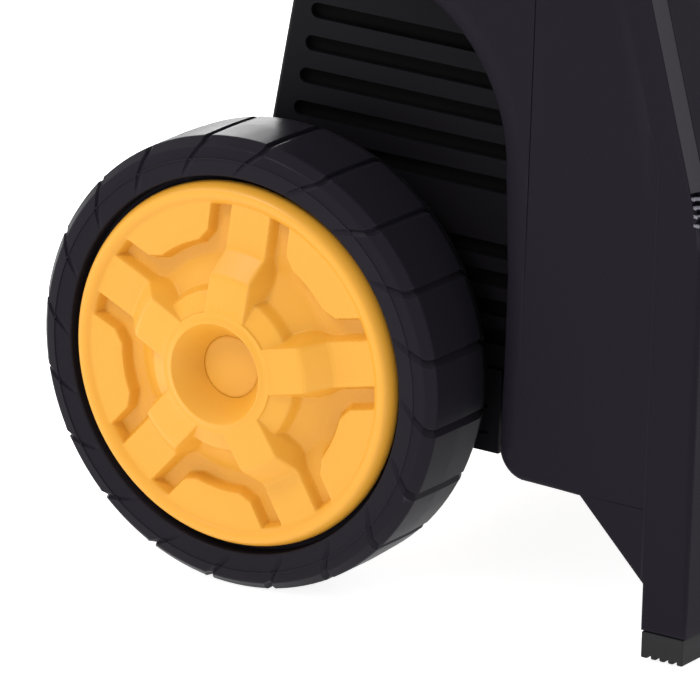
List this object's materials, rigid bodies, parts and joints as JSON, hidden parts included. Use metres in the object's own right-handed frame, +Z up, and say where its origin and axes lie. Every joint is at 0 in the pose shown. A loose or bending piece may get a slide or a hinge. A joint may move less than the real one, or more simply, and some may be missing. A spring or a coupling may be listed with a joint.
{
  "type": "pressure washer",
  "caption": "Upright electric pressure washer with two spoked wheels, front legs, slotted rear cover, rotary switch, hose connectors and a telescopic pull handle.",
  "frame": {"origin": "middle of the footprint, on the floor", "axes": "+Z up, front with the switch and hose connectors towards -Y, wheels towards +Y, +X to the right seen from the front; left and right in names are as seen from the front"},
  "size_m": [0.35, 0.33, 0.6012],
  "materials": {
    "black_plastic": "black moulded plastic, fine grain, satin",
    "dark_plastic": "darker matt moulded plastic",
    "tyre": "matt black moulded tyre",
    "rubber": "black rubber",
    "yellow": "warm yellow moulded plastic, satin",
    "steel": "plated steel",
    "cast": "die-cast aluminium",
    "brass": "machined brass",
    "copper": "laminated steel with copper windings",
    "grey_plastic": "grey moulded plastic",
    "clear_plastic": "milky translucent plastic"
  },
  "bodies": {
    "machine": {"axle": "steel", "cable_gland": "dark_plastic", "cable_hook_fixed": "dark_plastic", "capacitor": "grey_plastic", "chassis": "black_plastic", "crankcase": "cast", "detergent_tank": "clear_plastic", "detergent_tube": "clear_plastic", "fan_shroud": "dark_plastic", "foot_left": "rubber", "foot_right": "rubber", "front_panel": "dark_plastic", "gun_holder": "dark_plastic", "handle_sleeve_left": "dark_plastic", "handle_sleeve_right": "dark_plastic", "inlet_filter": "clear_plastic", "inlet_pipe": "dark_plastic", "lance_cup": "dark_plastic", "lower_bearing": "steel", "motor_end_bell": "cast", "motor_stator": "copper", "outlet_pipe": "steel", "piston_spring_1": "steel", "piston_spring_2": "steel", "piston_spring_3": "steel", "pump_head": "cast", "push_nut_left": "steel", "push_nut_right": "steel", "rear_cover": "black_plastic", "side_shell_left": "black_plastic", "side_shell_right": "black_plastic", "switch_bezel": "grey_plastic", "switch_body": "grey_plastic", "terminal_box": "grey_plastic", "top_cover": "black_plastic", "unloader_valve": "brass", "upper_bearing": "steel", "water_inlet": "dark_plastic", "water_outlet": "brass", "wheel_washer_left": "grey_plastic", "wheel_washer_right": "grey_plastic"},
    "wheel_left": {"wheel_rim_left": "yellow", "tyre_left": "tyre", "hub_cap_left": "yellow"},
    "wheel_right": {"wheel_rim_right": "yellow", "tyre_right": "tyre", "hub_cap_right": "yellow"},
    "handle": {"handle_tube_left": "steel", "handle_tube_right": "steel", "handle_grip": "dark_plastic"},
    "handle_button": {"handle_button": "yellow"},
    "switch_knob": {"switch_knob": "yellow"},
    "detergent_cap": {"detergent_cap": "yellow"},
    "cable_hook_swivel": {"cable_hook_swivel": "dark_plastic"},
    "rotor": {"motor_rotor": "steel", "swash_plate": "steel", "cooling_fan": "dark_plastic"},
    "piston_1": {"piston_1": "steel"},
    "piston_2": {"piston_2": "steel"},
    "piston_3": {"piston_3": "steel"}
  },
  "joints": [
    {"name": "wheel_left_spin", "type": "hinge", "parent": "machine", "child": "wheel_left", "pos_m": [-0.16, 0.065, 0.1], "axis": [1, 0, 0], "continuous": true},
    {"name": "wheel_right_spin", "type": "hinge", "parent": "machine", "child": "wheel_right", "pos_m": [0.16, 0.065, 0.1], "axis": [1, 0, 0], "continuous": true},
    {"name": "handle_slide", "type": "slide", "parent": "machine", "child": "handle", "axis": [0, 0, 1], "range_m": [0, 0.24]},
    {"name": "handle_button_press", "type": "slide", "parent": "handle", "child": "handle_button", "axis": [0, 0, -1], "range_m": [0, 0.004], "stiffness_N_per_m": 600},
    {"name": "switch_turn", "type": "hinge", "parent": "machine", "child": "switch_knob", "pos_m": [0, -0.10285, 0.376], "axis": [0, -0.9903, 0.1392], "range_deg": [0, 90]},
    {"name": "detergent_cap_turn", "type": "hinge", "parent": "machine", "child": "detergent_cap", "pos_m": [0, -0.12823, 0.262], "axis": [0, -0.9613, 0.2756], "range_deg": [0, 90]},
    {"name": "cable_hook_turn", "type": "hinge", "parent": "machine", "child": "cable_hook_swivel", "pos_m": [0, 0.06114, 0.385], "axis": [0, 1, 0], "range_deg": [0, 180]},
    {"name": "motor_spin", "type": "hinge", "parent": "machine", "child": "rotor", "pos_m": [0, -0.025, 0.25], "axis": [0, 0, 1], "continuous": true},
    {"name": "piston_1_stroke", "type": "slide", "parent": "machine", "child": "piston_1", "axis": [0, 0, 1], "range_m": [-0.003, 0.003], "stiffness_N_per_m": 2000, "deforming": ["piston_spring_1"]},
    {"name": "piston_2_stroke", "type": "slide", "parent": "machine", "child": "piston_2", "axis": [0, 0, 1], "range_m": [-0.003, 0.003], "stiffness_N_per_m": 2000, "deforming": ["piston_spring_2"]},
    {"name": "piston_3_stroke", "type": "slide", "parent": "machine", "child": "piston_3", "axis": [0, 0, 1], "range_m": [-0.003, 0.003], "stiffness_N_per_m": 2000, "deforming": ["piston_spring_3"]}
  ]
}
